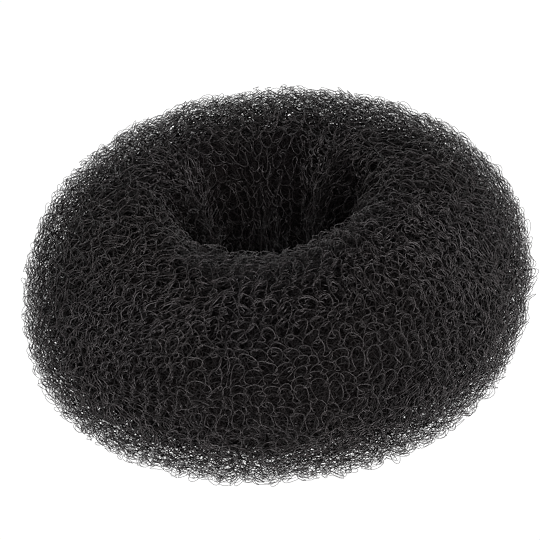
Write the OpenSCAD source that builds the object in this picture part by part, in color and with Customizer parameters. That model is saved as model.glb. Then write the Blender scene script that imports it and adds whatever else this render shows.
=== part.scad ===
// Hair donut: one open knitted sleeve, rolled on itself like a sock into a soft ring.
// The ring lies flat on its foot, the hole opens upwards along +Z, and the origin is
// the middle of the footprint. A section shows the wall winding inwards from its hem,
// which is tucked under the ring at the lower mouth of the hole. The wall is drawn as
// two solids, its outer turn and its inner turns, that meet out of sight over the hem.

/* [Ring] */
// Outside diameter of the ring
outer_d = 95; // [80:1:110]
// Height from the resting face to the top of the crest
height = 42; // [34:1:50]
// Diameter of the circle that the crest follows
crest_d = 43; // [38:1:52]
// Height of the widest part
belly_z = 19.5; // [14:0.5:24]

/* [Hole] */
// Diameter of the hole at its narrowest
throat_d = 22; // [18:0.5:26]
// Height of the narrowest part
throat_z = 16; // [12:0.5:20]

/* [Foot] */
// Diameter of the circle that the ring rests on
foot_d = 54; // [48:1:60]
// Width of the flattened resting face
foot_w = 14; // [8:1:18]

/* [Roll] */
// Thickness of the knitted wall, averaged round a section
wall = 3.4; // [2.4:0.1:4.4]
// Free space between one turn of the wall and the next
turn_gap = 0.8; // [0.5:0.1:1.5]
// Thickness of the wall where its hem is pressed flat
hem_wall = 1.6; // [1:0.1:2.2]
// Diameter of the hollow left in the middle of the roll
core_d = 6; // [4:0.5:9]
// Clearance where the outer turn meets the inner turns
join_gap = 0.3; // [0.2:0.05:0.6]

/* [Detail] */
// Sections round the ring
sections = 48; // [36:4:60]

/* [Hidden] */

// Shape of the ring, one row for each twelfth of a turn from +X: shares of outer_d,
// crest_d, throat_d and height.
OUTER = 0;
CREST = 1;
THROAT = 2;
TOP = 3;
ring_shape = [
    // OUTER CREST THROAT TOP
    [0.990, 1.08, 1.20, 1.00],
    [1.000, 1.04, 1.15, 1.00],
    [1.010, 1.00, 1.05, 1.00],
    [1.000, 1.00, 1.00, 1.00],
    [1.010, 1.00, 1.05, 1.00],
    [0.985, 1.05, 1.15, 0.99],
    [0.985, 1.12, 1.25, 0.97],
    [1.040, 1.12, 1.15, 0.94],
    [1.020, 1.06, 1.05, 0.92],
    [0.980, 1.02, 1.00, 0.93],
    [0.980, 1.02, 1.00, 0.96],
    [0.970, 1.06, 1.10, 0.99]
];

// Gathers round the throat: direction and half width in degrees, and how far the wall
// is pushed into the hole (or, below zero, drawn out of it) as a share of throat_d.
AZIMUTH = 0;
HALF_WIDTH = 1;
PUSH = 2;
gathers = [
    // AZIMUTH HALF_WIDTH PUSH
    [ 22, 12, -0.10],
    [ 48, 11,  0.17],
    [ 72, 12, -0.12],
    [102, 13,  0.06],
    [128, 12, -0.09],
    [152, 11,  0.10],
    [174, 11, -0.10],
    [196, 11,  0.09],
    [220, 13, -0.07],
    [250, 13,  0.06],
    [278, 13, -0.06],
    [306, 13,  0.07],
    [334, 13, -0.06],
    [358, 12,  0.07]
];

// A section's outline has this many steps, counted from the belly over the crest, down
// the throat and along the foot.
steps = 24;
quarter = steps / 4;
// The wall's hem starts here and the wall winds from it towards the belly. Each turn
// sinks below the one outside it over the last few steps before the hem.
hem_step = 15;
sink_steps = 3;
// The first turn takes every step. The turns inside it take every second one.
inner_stride = 2;
// Fullness of the outline's quarters: 2 is an ellipse and more is squarer.
fullness = 2.1;
// Steps over which the pressed hem swells to the full wall
hem_run = 2;

pitch = wall + turn_gap;
roll_depth = ((outer_d - throat_d) / 4 + height / 2 - core_d) / 2;
turns = floor((roll_depth + turn_gap) / pitch);
last_step = turns * steps - sink_steps;

// Column col of ring_shape in direction azimuth, on a smooth closed curve
function shape_at(col, azimuth) =
    let (
        rows = len(ring_shape),
        place = azimuth / 360 * rows,
        row = floor(place),
        f = place - row,
        a = ring_shape[(row - 1 + rows) % rows][col],
        b = ring_shape[row % rows][col],
        c = ring_shape[(row + 1) % rows][col],
        d = ring_shape[(row + 2) % rows][col]
    )
    b + f * (c - a) / 2
      + f * f * (a - 5 * b / 2 + 2 * c - d / 2)
      + f * f * f * (3 * (b - c) + d - a) / 2;

// The shorter way from one direction to another, in degrees
function turn_between(from, to) = (to - from + 540) % 360 - 180;

function sum(values) = len(values) == 0 ? 0 : values * [for (v = values) 1];

// How far the gathers push the throat's wall into the hole in direction azimuth
function gather_push(azimuth) =
    throat_d * sum([
        for (g = gathers)
            let (off = turn_between(g[AZIMUTH], azimuth) / g[HALF_WIDTH])
            g[PUSH] * exp(-off * off)
    ]);

// A quarter of an outline bends as a superellipse does
function bend(share) = sign(share) * pow(abs(share), 2 / fullness);

// Angle round an outline at a step: 0 at the belly, 90 at the crest, 180 at the throat
// and 270 at the foot, whose flat face lies between two steps.
function angle_at(step) =
    step < 2 * quarter ? 90 * step / quarter
    : step < 3 * quarter ? 180 + 90 * (step - 2 * quarter) / (quarter - 1)
    : 270 + 90 * (step - 3 * quarter) / quarter;

// Point [radius, height] of the ring's outline in direction azimuth, at a step
function outline(azimuth, step) =
    let (
        angle = angle_at(step),
        upper = step < 2 * quarter,
        outside = step <= quarter || step >= 3 * quarter,
        level = outside ? belly_z : throat_z,
        edge = shape_at(outside ? OUTER : THROAT, azimuth) * (outside ? outer_d : throat_d) / 2,
        crest = shape_at(CREST, azimuth) * crest_d / 2,
        foot = foot_d / 2 + (outside ? 1 : -1) * foot_w / 2,
        middle = upper ? crest : foot,
        top = shape_at(TOP, azimuth) * height,
        across = outside ? bend(cos(angle)) : -bend(cos(angle)),
        gather = outside ? 0 : pow(across, 2) * gather_push(azimuth)
    )
    [
        middle + (edge - middle) * across - gather,
        level + bend(sin(angle)) * (upper ? top - level : level)
    ];

// Middle of the roll in direction azimuth
function roll_middle(azimuth) =
    [
        (shape_at(OUTER, azimuth) * outer_d + shape_at(THROAT, azimuth) * throat_d) / 4,
        (belly_z + throat_z + height) / 4
    ];

// Point [radius, height] at a step of the roll, at a depth below the ring's outline
function roll_point(azimuth, step, depth) =
    let (
        turn_step = (hem_step + step) % steps,
        middle = roll_middle(azimuth),
        skin = outline(azimuth, turn_step),
        ray = skin - middle,
        core = middle + ray / norm(ray) * core_d / 2,
        share = depth / roll_depth
    )
    skin * (1 - share) + core * share;

// Depth of the wall's outer face at a step of the roll
function face_depth(step) =
    let (in_turn = step % steps)
    pitch * (floor(step / steps) + max(0, in_turn - steps + sink_steps) / sink_steps);

// Thickness of the wall at a step of the roll
function wall_at(step) =
    hem_wall + (wall - hem_wall) * min(1, step / hem_run);

// The inner turns start just behind the end of the outer turn
join_step =
    steps + join_gap / norm(roll_point(0, steps + 1, pitch) - roll_point(0, steps, pitch));
outer_steps = [for (s = [0:1:steps]) s];
inner_steps = [join_step, for (s = [steps + 1:inner_stride:last_step]) s];

// The wall's closed outline in one section: along its outer face over the given steps,
// and back along its inner face.
function wall_section(azimuth, wall_steps) =
    concat(
        [for (s = wall_steps) roll_point(azimuth, s, face_depth(s))],
        [
            for (k = [len(wall_steps) - 1:-1:0])
                let (s = wall_steps[k])
                roll_point(azimuth, s, face_depth(s) + wall_at(s))
        ]
    );

function ring_points(wall_steps) = [
    for (k = [0:sections - 1])
        let (azimuth = k * 360 / sections)
        for (p = wall_section(azimuth, wall_steps))
            [p[0] * cos(azimuth), p[0] * sin(azimuth), p[1]]
];

// Two triangles for each patch between neighbouring sections
function ring_faces(section_len) = [
    for (k = [0:sections - 1])
        for (i = [0:section_len - 1])
            let (
                a = k * section_len + i,
                b = k * section_len + (i + 1) % section_len,
                next = (k + 1) % sections * section_len,
                c = next + (i + 1) % section_len,
                d = next + i
            )
            for (face = [[a, b, c], [a, c, d]]) face
];

// Middle of the ring's extent in plan, which becomes the origin
function middle_of(values) = (min(values) + max(values)) / 2;
outer_points = ring_points(outer_steps);
plan_middle = [
    middle_of([for (p = outer_points) p[0]]),
    middle_of([for (p = outer_points) p[1]])
];

// A stretch of the wall, wound round the ring over the given steps
module wound_wall(points, wall_steps) {
    translate([-plan_middle[0], -plan_middle[1], 0])
        polyhedron(
            points = points,
            faces = ring_faces(2 * len(wall_steps)),
            convexity = 10
        );
}

// The sleeve's visible turn, from the hem under the hole round to where it passes
// over the hem
module outer_turn() {
    color([0.06, 0.06, 0.065]) wound_wall(outer_points, outer_steps);
}

// The turns inside it, wound round the hollow core
module inner_turns() {
    color([0.03, 0.03, 0.035]) wound_wall(ring_points(inner_steps), inner_steps);
}

outer_turn();
inner_turns();
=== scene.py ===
"""Hair donut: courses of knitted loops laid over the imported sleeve, in layers."""

import math
from collections import namedtuple

import bpy
import numpy as np
from mathutils import Matrix, Vector
from mathutils.bvhtree import BVHTree


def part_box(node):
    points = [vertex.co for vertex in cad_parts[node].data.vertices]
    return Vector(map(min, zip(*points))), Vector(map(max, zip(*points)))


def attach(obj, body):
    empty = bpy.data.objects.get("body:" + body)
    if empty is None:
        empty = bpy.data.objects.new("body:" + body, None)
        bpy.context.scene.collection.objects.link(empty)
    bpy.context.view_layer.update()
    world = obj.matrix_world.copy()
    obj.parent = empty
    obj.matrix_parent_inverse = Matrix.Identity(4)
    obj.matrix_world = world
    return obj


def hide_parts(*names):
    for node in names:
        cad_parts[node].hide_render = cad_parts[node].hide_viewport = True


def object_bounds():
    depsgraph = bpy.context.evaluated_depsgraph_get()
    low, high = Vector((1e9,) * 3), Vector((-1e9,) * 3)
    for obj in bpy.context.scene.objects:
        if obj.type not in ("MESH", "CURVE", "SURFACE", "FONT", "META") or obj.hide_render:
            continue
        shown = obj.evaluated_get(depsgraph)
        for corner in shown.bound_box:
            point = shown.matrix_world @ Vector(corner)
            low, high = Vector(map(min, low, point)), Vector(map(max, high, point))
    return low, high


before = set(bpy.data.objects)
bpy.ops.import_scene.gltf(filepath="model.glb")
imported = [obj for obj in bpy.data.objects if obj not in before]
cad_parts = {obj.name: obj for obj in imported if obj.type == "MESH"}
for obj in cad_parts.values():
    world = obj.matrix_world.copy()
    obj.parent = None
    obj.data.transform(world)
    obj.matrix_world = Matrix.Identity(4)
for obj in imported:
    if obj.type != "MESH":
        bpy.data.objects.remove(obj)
cad_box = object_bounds()

MM = 0.001
NODE = "outer_turn"
INNER = "inner_turns"

# Sizes of the sleeve's skin, in millimetres

# Middle of the roll's section, as shares of the sleeve's half width and height
ROLL_RADIUS = 0.62
ROLL_HEIGHT = 0.44
# Sections round the ring and steps round a section at which the skin is read, and
# probes to a step
SKIN_SECTIONS = 144
SKIN_STEPS = 160
PROBES = 4
# A probe starts this far from the roll's middle, or at the ring's axis if that is nearer
PROBE_FROM = 60.0
# The hem lies between these angles of a section (0 is the belly, 90 the crest) and is
# looked for at this many places. The skin is read from it round to this many radians
# before it.
HEM_SEARCH = (212.0, 256.0)
HEM_PROBES = 60
HEM_GAP = 0.02
# What lies nearer the roll's middle than this share of the median isn't skin
LEAST_REACH = 0.6
# Sigma of the blur over sections and over steps
BLUR_ROUND = 1.6
BLUR_ALONG = 2.2

# Sizes of the knit. Lengths are in millimetres, or in widths of a loop where that is said.

# A loop is a round head that closes nearly to a ring, and a foot that leads to the next
# loop behind the heads of the course before it. In widths of a loop: radius of the head
# and height of its middle over the course's line, and how far the foot hangs. The foot
# begins at this angle from the head's top, and its curve is this many times as long as
# its chord. The thread goes behind from this height over the foot's beginning (in widths
# of a loop), and ends up this many millimetres behind.
HEAD = 0.50
HEAD_HEIGHT = 0.10
FOOT_DROP = 0.12
FOOT_FROM = 156.0
FOOT_CURVE = 1.1
BEHIND_FROM = 0.25
BEHIND = 0.25

# The thread coils loosely round its own line: turns to a loop, how far it swings (in
# widths of a loop), how far it rises and sinks (in millimetres), and how much the coil's
# start varies (in radians).
COIL_TURNS = 2
COIL_SWING = 0.08
COIL_LIFT = 0.12
COIL_START = 1.8

# How uneven the loops are, at most. A head varies in height by this share, and in width
# by this share of that. It leans sideways by this share of what it nods.
SIZE_VARIES = 0.16
WIDTH_FOLLOWS = 0.5
LEAN_SHARE = 0.7
# In widths of a loop: how far a head is shifted along and across its course, how far
# bits of thread stray, and how far a course slips past half a loop from the last one
SHIFT_ALONG = 0.12
SHIFT_ACROSS = 0.27
STRAY = 0.06
SLIP_VARIES = 0.15

# In the hole the gathered loops are narrower and longer by these shares
HOLE_NARROWER = 0.32
HOLE_LONGER = 0.42
# Towards -X the layers lie deeper by up to this share, from the middle to this distance
LOOSER = 0.30
LOOSER_AT = 40.0

# The courses drift: bumps of the drift round the ring and across it, and the most that
# they drift round and across, as shares of the way round the ring and from hem to hem
DRIFT_BUMPS = (54, 26)
DRIFT_ROUND = 0.0042
DRIFT_ACROSS = 0.0105
# All layers share one relief of soft folds: its seed, bumps, height and mean
RELIEF_SEED = 11
RELIEF_BUMPS = (74, 32)
RELIEF = 1.0
RELIEF_MEAN = 0.38

# Each layer of the knit, from the skin inwards: how deep it lies, how far a loop's head
# nods out of the skin at most (in radians), the loops' width and spacing, points to a
# loop, width of the thread, sides of the thread (1 for a flat ribbon), its tone and
# shine, and the seed of its noise. All layers are the same nylon: the deeper a layer
# lies, the darker its tone and the less its shine, which is painted shade.
Layer = namedtuple("Layer", "depth nod wale course points thread sides tone shine seed")
LAYERS = {
    #               depth  nod  wale course points thread sides tone shine seed
    "outer": Layer(0.55, 0.68, 2.60, 2.22, 17, 0.092, 3, 0.038, 0.65, 100),
    "echo": Layer(1.05, 0.68, 2.60, 2.22, 13, 0.085, 1, 0.013, 0.30, 100),
    "layer_2": Layer(1.50, 0.68, 2.42, 2.12, 10, 0.095, 1, 0.014, 0.30, 200),
    "layer_3": Layer(1.95, 0.68, 2.60, 2.25, 9, 0.125, 1, 0.013, 0.25, 300),
    "layer_4": Layer(2.60, 0.68, 2.70, 2.35, 9, 0.155, 1, 0.011, 0.20, 400),
    "layer_5": Layer(3.45, 0.68, 2.45, 2.15, 7, 0.17, 1, 0.010, 0.15, 500),
    "layer_6": Layer(4.15, 0.68, 2.45, 2.15, 7, 0.20, 1, 0.010, 0.10, 600),
    "layer_7": Layer(4.95, 0.68, 2.45, 2.15, 7, 0.22, 1, 0.010, 0.10, 700),
    "layer_8": Layer(5.90, 0.75, 2.45, 2.15, 7, 0.27, 1, 0.010, 0.10, 800),
}
# A layer with more triangles than this goes into several pieces
MOST_TRIANGLES = 180000
# Slant of the ribbons to the skin in degrees, by turns to either side
RIBBON_SLANT = 45
# A thread's strip of the UV map takes this share of its row, from this share on
UV_STRIP = 0.8
UV_MARGIN = 0.1

# The sealed hem: two strands twisted round each other this many times on their way
# round the ring, points to a twist, the strands' thickness and sides, how far they
# swing, and where they lie: at this share of the way from hem to hem, and how deep.
HEM_TWISTS = 64
HEM_POINTS = 10
HEM_THREAD = 0.34
HEM_SIDES = 5
HEM_SWING = 0.26
HEM_AT = 0.014
HEM_DEPTH = 0.8

# The inner turns, glimpsed between the threads: steps round a section of their face, its
# depth, and height, number and seed of its bumps
CORE_STEPS = 80
CORE_DEPTH = 7.1
CORE_BUMP = 1.1
CORE_BUMPS = (110, 50)
CORE_SEED = 7
# It rises by this much on the hole's side, from the crest to this share of the way down
CORE_RISE = 2.0
CORE_RISE_BY = 0.35

# Nylon: tint and roughness of the threads, whose tone and shine the layers give (darker
# and duller deeper in, as painted shade), and colour, roughness and shine of the hem and
# of the inner turns
TINT = (1.08, 0.97, 0.98)
THREAD_ROUGH = 0.28
HEM_COLOUR = (0.026, 0.024, 0.024)
HEM_ROUGH = 0.34
HEM_SHINE = 0.5
# The inner turns are near black and without shine: partly the nylon's own black, partly painted
# shade of the roll's depths, darker and duller than the threads.
CORE_SHADED_COLOUR = (0.008, 0.007, 0.007)
CORE_ROUGH = 0.8
CORE_SHINE = 0.0
# The tone varies by this share along a strand, and between these two tints over larger
# patches. Each of these noises has so many bumps to a metre, and runs from its dark end
# to its light one between these values.
STRAND_VARIES = 0.4
STRAND_NOISE = 900.0
FADED = ((0.85, 0.85, 0.88), (1.15, 1.15, 1.12))
FADE_NOISE = 70.0
RAMP_ENDS = (0.3, 0.7)
# The roughness varies by this much, and a fine grain is this high and this strong
POLISH_VARIES = 0.06
POLISH_NOISE = 1400.0
GRAIN = 0.01
GRAIN_STRENGTH = 0.3
GRAIN_NOISE = 9000.0

# Stage, light and camera, in metres

# The white floor's half width, tone, roughness and glow
FLOOR_REACH = 3.0
FLOOR_TONE = 0.06
FLOOR_ROUGH = 0.9
FLOOR_GLOW = 1.0
# The surround fades from white near the level of the floor to a dimmer light above:
# between these slopes, and from and to these strengths
SKY_SLOPES = (0.07, 0.12)
SKY_STRENGTHS = (1.0, 0.24)
# Soft lights: watts, width, place and colour. They face the donut at the height below.
Light = namedtuple("Light", "watts width place colour")
LIGHTS = {
    "key": Light(8, 1.2, (0.25, 0.65, 0.70), (1.0, 1.0, 1.0)),
    "front": Light(17, 0.9, (0.20, -1.0, 0.26), (1.0, 0.93, 0.95)),
}
LIT_HEIGHT = 0.02
# The camera: elevation and roll in degrees, distance from the donut's middle, pixels to
# a metre there, where that middle shows in the photograph's frame, how many pixels a side
# the frame has, and the width of the sensor in millimetres
ELEVATION = 33.4
ROLL = 4.8
DISTANCE = 0.600
PIXELS_PER_M = 5490.0
AIM_PIXEL = (277.5, 268.3)
FRAME_PIXELS = 540
SENSOR = 36
# How much the finished picture is sharpened, and the gamma of its display tones
SHARPEN = 0.16
DISPLAY_GAMMA = 2.2

# The shortest length that a vector is divided by
TINY = 1e-9


def ease(share):
    """A share from 0 to 1, eased in and out."""
    return share * share * (3 - 2 * share)


def unit(vectors):
    """The vectors at length 1."""
    return vectors / np.maximum(np.linalg.norm(vectors, axis=-1, keepdims=True), TINY)


def sleeve_tree():
    """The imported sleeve's surface, for ray casts."""
    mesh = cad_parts[NODE].data
    points = np.empty(len(mesh.vertices) * 3, np.float32)
    mesh.vertices.foreach_get("co", points)
    faces = [tuple(p.vertices) for p in mesh.polygons]
    return BVHTree.FromPolygons(points.reshape(-1, 3).tolist(), faces)


def blurred(grid, axis, sigma, wrap):
    """The grid with a Gaussian blur of sigma steps along one axis."""
    reach = int(3 * sigma) + 1
    steps = np.arange(-reach, reach + 1)
    weights = np.exp(-0.5 * (steps / sigma) ** 2)
    weights /= weights.sum()
    out = np.zeros_like(grid)
    size = grid.shape[axis]
    for step, weight in zip(steps, weights):
        index = np.arange(size) + step
        index = index % size if wrap else np.clip(index, 0, size - 1)
        out += weight * np.take(grid, index, axis=axis)
    return out


def skin_points():
    """Skin of the sleeve as a grid of points: round the ring, and from the hem under the
    hole over the foot, belly, crest and throat to where it sinks again."""
    tree = sleeve_tree()
    low, high = (np.array(c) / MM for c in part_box(NODE))
    middle_r = ROLL_RADIUS * (high[0] - low[0]) / 2
    middle_z = ROLL_HEIGHT * high[2]
    points = np.empty((SKIN_SECTIONS, SKIN_STEPS, 3))

    def reach(azimuth, angle):
        """How far the skin lies from the roll's middle."""
        out = Vector((math.cos(azimuth), math.sin(azimuth), 0.0))
        ray = math.cos(angle) * out + math.sin(angle) * Vector((0, 0, 1))
        centre = middle_r * out + Vector((0, 0, middle_z))
        far = PROBE_FROM
        if math.cos(angle) < 0:
            far = min(far, middle_r / -math.cos(angle))
        hit = tree.ray_cast((centre + ray * far) * MM, -ray)
        return far - hit[3] / MM

    for i in range(SKIN_SECTIONS):
        azimuth = 2 * math.pi * i / SKIN_SECTIONS
        search = np.radians(np.linspace(*HEM_SEARCH, HEM_PROBES))
        reaches = [reach(azimuth, a) for a in search]
        hem = search[int(np.argmax(np.diff(reaches))) + 1]
        angles = np.linspace(hem, hem + 2 * math.pi - HEM_GAP, PROBES * SKIN_STEPS)
        reaches = np.array([reach(azimuth, a) for a in angles])
        kept = reaches > LEAST_REACH * np.median(reaches)
        r = middle_r + reaches[kept] * np.cos(angles[kept])
        z = middle_z + reaches[kept] * np.sin(angles[kept])
        run = np.concatenate([[0], np.cumsum(np.hypot(np.diff(r), np.diff(z)))])
        even = np.linspace(0, run[-1], SKIN_STEPS)
        r, z = np.interp(even, run, r), np.interp(even, run, z)
        points[i] = np.stack([r * math.cos(azimuth), r * math.sin(azimuth), z], -1)
    points = blurred(points, 0, BLUR_ROUND, True)
    return blurred(points, 1, BLUR_ALONG, False)


def normals_of(points):
    """Outward unit normals of the skin."""
    round_ring = np.roll(points, -1, 0) - np.roll(points, 1, 0)
    up = np.gradient(points, axis=1)
    normals = unit(np.cross(round_ring, up))
    middle = points.mean(axis=1, keepdims=True)
    outward = ((points - middle) * normals).sum(-1).mean()
    return normals if outward > 0 else -normals


# The sleeve's skin: its points and normals, the steps of the crest and throat, the share
# of the way into the hole at each step, and the mean length of a section from hem to hem
Skin = namedtuple("Skin", "points normals crest throat in_hole length")


def read_skin():
    """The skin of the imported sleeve."""
    points = skin_points()
    crest = int(np.argmax(points[..., 2].mean(0)))
    throat = int(np.argmin(np.hypot(points[..., 0], points[..., 1]).mean(0)))
    in_hole = ease(np.clip((np.arange(SKIN_STEPS) - crest) / (throat - crest), 0, 1))
    length = np.linalg.norm(np.diff(points, axis=1), axis=-1).sum(1).mean()
    return Skin(points, normals_of(points), crest, throat, in_hole, length)


def on_grid(grid, u, v, easing=None):
    """Values of a grid at shares u round the ring and v from hem to hem."""
    rows, columns = grid.shape[:2]
    a = (u % 1.0) * rows
    b = np.clip(v, 0, 1) * (columns - 1)
    i = np.floor(a).astype(int)
    j = np.minimum(np.floor(b).astype(int), columns - 2)
    f, g = a - i, b - j
    if easing:
        f, g = easing(f), easing(g)
    if grid.ndim == 3:
        f, g = f[..., None], g[..., None]
    i0, i1 = i % rows, (i + 1) % rows
    return (
        grid[i0, j] * (1 - f) * (1 - g)
        + grid[i1, j] * f * (1 - g)
        + grid[i0, j + 1] * (1 - f) * g
        + grid[i1, j + 1] * f * g
    )


def on_skin(skin, u, v):
    """Points and normals of the skin at shares u round the ring and v from hem to hem."""
    return on_grid(skin.points, u, v), unit(on_grid(skin.normals, u, v))


def field(seed, bumps, u, v):
    """Smooth noise from about -1 to 1 with these bumps round the ring and across it."""
    values = np.random.default_rng(seed).uniform(-1, 1, bumps)
    return on_grid(values, u, v, easing=ease)


def plan(skin, layer):
    """A layer's courses from hem to hem: place, spacing and number of loops of each."""
    v = np.linspace(0, 1, SKIN_STEPS)
    rings = np.linalg.norm(np.roll(skin.points, -1, 0) - skin.points, axis=-1).sum(0)
    spacing = layer.course * (1 + HOLE_LONGER * skin.in_hole)
    wale = layer.wale * (1 - HOLE_NARROWER * skin.in_hole)
    order = np.cumsum(skin.length / (SKIN_STEPS - 1) / spacing[1:])
    order = np.concatenate([[0], order])
    count = int(order[-1])
    places = np.interp((np.arange(count) + 0.5) * order[-1] / count, order, v)
    spacings = np.interp(places, v, spacing) / skin.length
    loops = np.round(np.interp(places, v, rings / wale)).astype(int)
    return zip(places, spacings, loops)


def wobble(rng, wales, per_loop, points):
    """A smooth random run round a course, with per_loop values to a loop."""
    count = wales * per_loop
    values = rng.uniform(-1, 1, count)
    t = np.arange(wales * points) / points * per_loop
    i = np.floor(t).astype(int)
    f = ease(t - i)
    return values[i % count] * (1 - f) + values[(i + 1) % count] * f


def loop_at(share):
    """Place on a loop at a share of its thread, from the middle of one foot to the next:
    along the course, across it from the head's middle, and how far down its foot."""
    start = math.radians(FOOT_FROM)
    x0, y0 = HEAD * math.sin(start), HEAD * math.cos(start)
    half = 0.5 - x0
    foot = math.hypot(half, FOOT_DROP) * FOOT_CURVE
    head = 2 * start * HEAD
    run = share * (2 * foot + head)
    angle = -start + (run - foot) / HEAD
    x, y = HEAD * np.sin(angle), HEAD * np.cos(angle)
    for side, away in ((-1, (foot - run) / foot), (1, (run - foot - head) / foot)):
        hang = FOOT_DROP * np.sin(np.clip(away, 0, 1) * math.pi / 2)
        x = np.where(away > 0, side * (x0 + half * away), x)
        y = np.where(away > 0, y0 - hang, y)
    down = np.clip((y0 + BEHIND_FROM - y) / (BEHIND_FROM + FOOT_DROP), 0, 1)
    return x, y, down


def course_shape(rng, layer, wales, number):
    """A course of uneven loops: place of each point along and across it, in widths of a
    loop, and height over the layer, in millimetres."""
    points = layer.points
    shares = np.arange(points) / points
    x, y, down = (np.tile(a, wales) for a in loop_at(shares))
    shares = np.tile(shares, wales)

    def per_head():
        return np.roll(wobble(rng, wales, 1, points), points // 2)

    def strays():
        return wobble(rng, wales, 2, points)

    size = 1 + SIZE_VARIES * per_head()
    coil = math.pi * (2 * COIL_TURNS * shares + number % 2) + COIL_START * per_head()
    swing = 1 + COIL_SWING * np.cos(coil) / np.hypot(x, y)
    x, y = x * swing, y * swing
    nod = layer.nod * per_head()
    lean = LEAN_SHARE * layer.nod * per_head()
    lift = layer.wale * size * (y * np.sin(nod) + (1 - down) * x * np.sin(lean))
    lift = lift + COIL_LIFT * np.sin(coil) - BEHIND * down
    straight = shares - 0.5
    x = straight + (x - straight) * np.cos(lean)
    y = y * np.cos(nod) + HEAD_HEIGHT
    x = x * (1 + WIDTH_FOLLOWS * (size - 1)) + STRAY * strays() + SHIFT_ALONG * per_head()
    y = y * size + STRAY * strays() + SHIFT_ACROSS * per_head()
    return x, y, lift


def knit(skin, layer):
    """Points of each course of a layer, and the skin's normal at each."""
    rng = np.random.default_rng(layer.seed)
    courses = []
    slip = 0.0
    for number, (v0, spacing, wales) in enumerate(plan(skin, layer)):
        slip += 0.5 + SLIP_VARIES * rng.uniform(-1, 1)
        x, y, lift = course_shape(rng, layer, wales, number)
        u = (np.repeat(np.arange(wales), layer.points) + slip + x) / wales
        v = v0 + y * spacing * layer.wale / layer.course
        u = u + DRIFT_ROUND * field(layer.seed + 1, DRIFT_BUMPS, u, v)
        v = v + DRIFT_ACROSS * field(layer.seed + 2, DRIFT_BUMPS, u, v)
        lift = lift + RELIEF * np.abs(field(RELIEF_SEED, RELIEF_BUMPS, u, v)) - RELIEF_MEAN
        place, out = on_skin(skin, u, v)
        slack = 1 + LOOSER * np.clip(-place[..., 0] / LOOSER_AT, 0, 1)
        place = place - out * (layer.depth * slack - lift)[..., None]
        place[..., 2] = np.maximum(place[..., 2], layer.thread / 2)
        courses.append((place, out))
    return courses


def hem_courses(skin):
    """The two strands of the hem, as courses."""
    u = np.arange(HEM_TWISTS * HEM_POINTS) / (HEM_TWISTS * HEM_POINTS)
    strands = []
    for start in (0, math.pi):
        turn = 2 * math.pi * HEM_TWISTS * u + start
        place, out = on_skin(skin, u, HEM_AT + HEM_SWING / skin.length * np.cos(turn))
        depth = HEM_DEPTH - HEM_SWING * np.sin(turn)
        strands.append((place - out * depth[..., None], out))
    return strands


def edge_angles(number, sides):
    """Directions of a thread's edges round its line."""
    if sides == 1:
        slant = math.radians(RIBBON_SLANT if number % 2 else -RIBBON_SLANT)
        return [slant, slant + math.pi]
    return [math.pi / 2 + 2 * math.pi * k / sides for k in range(sides)]


def thread_points(path, out, width, angles):
    """Points on a closed thread's edges, one for each angle at each point of its path."""
    along = unit(np.roll(path, -1, 0) - np.roll(path, 1, 0))
    side = unit(np.cross(along, out))
    up = np.cross(side, along)
    edges = [path + width / 2 * (math.cos(a) * side + math.sin(a) * up) for a in angles]
    return np.stack(edges, 1).reshape(-1, 3)


def quad_mesh(name, vertices, faces, corners):
    """A smooth mesh of four-sided faces, with a UV map that runs along its threads."""
    mesh = bpy.data.meshes.new(name)
    mesh.vertices.add(len(vertices))
    mesh.vertices.foreach_set("co", vertices.astype(np.float32).ravel())
    mesh.loops.add(faces.size)
    mesh.loops.foreach_set("vertex_index", faces.astype(np.int32).ravel())
    mesh.polygons.add(len(faces))
    mesh.polygons.foreach_set("loop_start", np.arange(0, faces.size, 4, dtype=np.int32))
    mesh.polygons.foreach_set("loop_total", np.full(len(faces), 4, np.int32))
    mesh.polygons.foreach_set("use_smooth", np.ones(len(faces), bool))
    mesh.update()
    lengthwise = mesh.uv_layers.new(name="OFBake")
    lengthwise.uv.foreach_set("vector", corners.astype(np.float32).ravel())
    mesh.validate()
    return mesh


def thread_mesh(name, courses, width, sides):
    """One mesh of closed threads along the courses: tubes, or slanting ribbons if sides
    is 1."""
    vertices, faces, corners = [], [], []
    first = 0
    for number, (path, out) in enumerate(courses):
        count = len(path)
        angles = edge_angles(number, sides)
        size = len(angles)
        vertices.append(thread_points(path, out, width, angles))
        here = first + np.arange(count) * size
        there = first + (np.arange(count) + 1) % count * size
        for k in range(sides):
            n = (k + 1) % size
            faces.append(np.stack([here + k, there + k, there + n, here + n], -1))
            row = np.full(count, number + UV_MARGIN + UV_STRIP * k / size)
            near = np.stack([row, np.arange(count)], -1)
            far = near + [UV_STRIP / size, 0]
            patch = np.stack([near, near + [0, 1], far + [0, 1], far], 1)
            corners.append(patch / [len(courses), count])
        first += count * size
    vertices = np.concatenate(vertices) * MM
    return quad_mesh(name, vertices, np.concatenate(faces), np.concatenate(corners))


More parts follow.
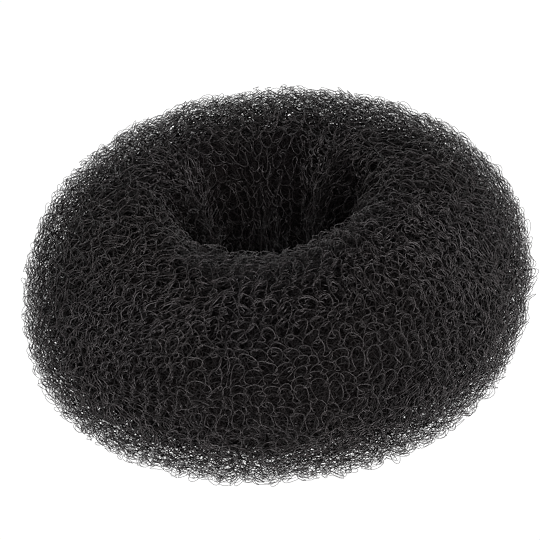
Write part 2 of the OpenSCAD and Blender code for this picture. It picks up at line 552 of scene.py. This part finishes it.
def nylon(name, colour, rough, shine):
    """Drawn nylon: tone and roughness change along the thread, and its skin is uneven."""
    material = bpy.data.materials.new(name)
    material.use_nodes = True
    nodes, links = material.node_tree.nodes, material.node_tree.links
    shader = nodes["Principled BSDF"]
    where = nodes.new("ShaderNodeTexCoord")

    def noise(scale, detail):
        node = nodes.new("ShaderNodeTexNoise")
        node.inputs["Scale"].default_value = scale
        node.inputs["Detail"].default_value = detail
        links.new(where.outputs["Object"], node.inputs["Vector"])
        return node.outputs["Fac"]

    def ramp(share, low, high):
        node = nodes.new("ShaderNodeValToRGB")
        for element, position, end in zip(node.color_ramp.elements, RAMP_ENDS, (low, high)):
            element.position = position
            element.color = (*end, 1)
        links.new(share, node.inputs["Fac"])
        return node.outputs["Color"]

    dark, light = ([k * c for c in colour] for k in (1 - STRAND_VARIES, 1 + STRAND_VARIES))
    strand = ramp(noise(STRAND_NOISE, detail=2.0), dark, light)
    faded = ramp(noise(FADE_NOISE, detail=3.0), *FADED)
    mix = nodes.new("ShaderNodeMix")
    mix.data_type = "RGBA"
    mix.blend_type = "MULTIPLY"
    mix.inputs["Factor"].default_value = 1.0
    links.new(strand, mix.inputs["A"])
    links.new(faded, mix.inputs["B"])
    links.new(mix.outputs["Result"], shader.inputs["Base Color"])
    polish = nodes.new("ShaderNodeMapRange")
    polish.inputs["To Min"].default_value = rough - POLISH_VARIES
    polish.inputs["To Max"].default_value = rough + POLISH_VARIES
    links.new(noise(POLISH_NOISE, detail=1.0), polish.inputs["Value"])
    links.new(polish.outputs["Result"], shader.inputs["Roughness"])
    grain = nodes.new("ShaderNodeBump")
    grain.inputs["Strength"].default_value = GRAIN_STRENGTH
    grain.inputs["Distance"].default_value = GRAIN * MM
    links.new(noise(GRAIN_NOISE, detail=1.0), grain.inputs["Height"])
    links.new(grain.outputs["Normal"], shader.inputs["Normal"])
    shader.inputs["Specular IOR Level"].default_value = shine
    return material


def add_object(name, data, material=None):
    """A new object in the scene."""
    thing = bpy.data.objects.new(name, data)
    bpy.context.collection.objects.link(thing)
    if material:
        data.materials.append(material)
    return thing


def knit_pieces(skin, name, layer):
    """A layer of the knit, in one or more pieces."""
    courses = knit(skin, layer)
    # Deeper layers are given a darker tone and less shine: painted shade.
    colour = [tint * layer.tone for tint in TINT]
    thread = nylon(f"{name}_nylon", colour, THREAD_ROUGH, layer.shine)
    triangles = sum(2 * layer.sides * len(path) for path, out in courses)
    bands = math.ceil(triangles / MOST_TRIANGLES)
    pieces = []
    for band, rows in enumerate(np.array_split(np.arange(len(courses)), bands)):
        piece_name = f"{name}_knit_{band + 1}"
        mesh = thread_mesh(piece_name, [courses[r] for r in rows], layer.thread, layer.sides)
        pieces.append(add_object(piece_name, mesh, thread))
    return pieces


def hem_piece(skin):
    """The sealed hem at the lower mouth of the hole."""
    mesh = thread_mesh("hem", hem_courses(skin), HEM_THREAD, HEM_SIDES)
    return add_object("hem", mesh, nylon("hem_nylon", HEM_COLOUR, HEM_ROUGH, HEM_SHINE))


def core_piece(skin):
    """The inner turns' outer face, closed below the hem."""
    rows = np.arange(SKIN_SECTIONS)
    cols = np.linspace(0, SKIN_STEPS - 1, CORE_STEPS).astype(int)
    u, v = np.meshgrid(rows / SKIN_SECTIONS, cols / (SKIN_STEPS - 1), indexing="ij")
    into_hole = (cols - skin.crest) / (skin.throat - skin.crest)
    depth = CORE_DEPTH + CORE_BUMP * field(CORE_SEED, CORE_BUMPS, u, v)
    depth = depth - CORE_RISE * np.clip(into_hole / CORE_RISE_BY, 0, 1)
    points = skin.points[:, cols] - depth[..., None] * skin.normals[:, cols]
    index = np.arange(len(rows) * len(cols)).reshape(len(rows), len(cols))
    beside = np.roll(index, -1, 0)
    faces = np.stack([index, beside, np.roll(beside, -1, 1), np.roll(index, -1, 1)], -1)
    mesh = bpy.data.meshes.new("inner_roll")
    mesh.from_pydata((points.reshape(-1, 3) * MM).tolist(), [], faces.reshape(-1, 4).tolist())
    mesh.polygons.foreach_set("use_smooth", np.ones(len(mesh.polygons), bool))
    # Its near-black, shineless nylon is partly painted shade of the roll's depths.
    return add_object("inner_roll", mesh, nylon("deep_shaded_nylon", CORE_SHADED_COLOUR, CORE_ROUGH, CORE_SHINE))


def add_floor():
    """The white floor."""
    material = bpy.data.materials.new("floor_white")
    material.use_nodes = True
    shader = material.node_tree.nodes["Principled BSDF"]
    shader.inputs["Base Color"].default_value = (FLOOR_TONE, FLOOR_TONE, FLOOR_TONE, 1)
    shader.inputs["Roughness"].default_value = FLOOR_ROUGH
    shader.inputs["Emission Color"].default_value = (1, 1, 1, 1)
    shader.inputs["Emission Strength"].default_value = FLOOR_GLOW
    signs = ((-1, -1), (1, -1), (1, 1), (-1, 1))
    corners = [(FLOOR_REACH * x, FLOOR_REACH * y, 0) for x, y in signs]
    mesh = bpy.data.meshes.new("floor")
    mesh.from_pydata(corners, [], [(0, 1, 2, 3)])
    floor = add_object("floor", mesh, material)


def add_surround():
    """A white surround that lights less from above."""
    world = bpy.data.worlds.new("studio")
    world.use_nodes = True
    nodes, links = world.node_tree.nodes, world.node_tree.links
    light_from = nodes.new("ShaderNodeTexCoord")
    height_of = nodes.new("ShaderNodeSeparateXYZ")
    fade = nodes.new("ShaderNodeMapRange")
    for end, slope, strength in zip(("Min", "Max"), SKY_SLOPES, SKY_STRENGTHS):
        fade.inputs[f"From {end}"].default_value = slope
        fade.inputs[f"To {end}"].default_value = strength
    sky = nodes["Background"]
    sky.inputs["Color"].default_value = (1, 1, 1, 1)
    links.new(light_from.outputs["Generated"], height_of.inputs["Vector"])
    links.new(height_of.outputs["Z"], fade.inputs["Value"])
    links.new(fade.outputs["Result"], sky.inputs["Strength"])
    bpy.context.scene.world = world


def add_light(name, light):
    """A square soft light that faces the donut."""
    lamp = bpy.data.lights.new(name, "AREA")
    lamp.energy = light.watts
    lamp.size = light.width
    lamp.color = light.colour
    thing = add_object(name, lamp)
    thing.location = light.place
    facing = Vector((0, 0, LIT_HEIGHT)) - Vector(light.place)
    thing.rotation_euler = facing.to_track_quat("-Z", "Y").to_euler()


def add_camera():
    """The camera at the photograph's viewing angle."""
    aim = Vector((0, 0, cad_box[1][2] / 2))
    elevation = math.radians(ELEVATION)
    back = Vector((0, -math.cos(elevation), math.sin(elevation)))
    camera = bpy.data.cameras.new("camera")
    camera.sensor_width = SENSOR
    camera.lens = PIXELS_PER_M * DISTANCE / FRAME_PIXELS * SENSOR
    camera.shift_x = -(AIM_PIXEL[0] - FRAME_PIXELS / 2) / FRAME_PIXELS
    camera.shift_y = (AIM_PIXEL[1] - FRAME_PIXELS / 2) / FRAME_PIXELS
    roll = Matrix.Rotation(math.radians(-ROLL), 4, "Z")
    facing = back.to_track_quat("Z", "Y").to_matrix().to_4x4() @ roll
    thing = add_object("camera", camera)
    thing.matrix_world = Matrix.Translation(aim + back * DISTANCE) @ facing
    bpy.context.scene.camera = thing


def sharpen(scene, share):
    """A light sharpening of the finished picture, in display tones."""
    scene.use_nodes = True
    nodes, links = scene.node_tree.nodes, scene.node_tree.links
    nodes.clear()
    picture, finished = nodes.new("CompositorNodeRLayers"), nodes.new("CompositorNodeComposite")
    to_tones, back_again = nodes.new("CompositorNodeGamma"), nodes.new("CompositorNodeGamma")
    to_tones.inputs["Gamma"].default_value = 1 / DISPLAY_GAMMA
    back_again.inputs["Gamma"].default_value = DISPLAY_GAMMA
    edge = nodes.new("CompositorNodeFilter")
    edge.filter_type = "SHARPEN_DIAMOND"
    edge.inputs["Fac"].default_value = share
    links.new(picture.outputs["Image"], to_tones.inputs["Image"])
    links.new(to_tones.outputs["Image"], edge.inputs["Image"])
    links.new(edge.outputs["Image"], back_again.inputs["Image"])
    links.new(back_again.outputs["Image"], finished.inputs["Image"])


skin = read_skin()
pieces = []
for name, layer in LAYERS.items():
    pieces.extend(knit_pieces(skin, name, layer))
pieces.append(hem_piece(skin))
core = core_piece(skin)
pieces.append(core)

for piece in pieces:
    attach(piece, "root")
    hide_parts(INNER if piece == core else NODE)

add_floor()
add_surround()
for name, light in LIGHTS.items():
    add_light(name, light)
add_camera()
bpy.context.scene.view_settings.view_transform = "Standard"
sharpen(bpy.context.scene, SHARPEN)
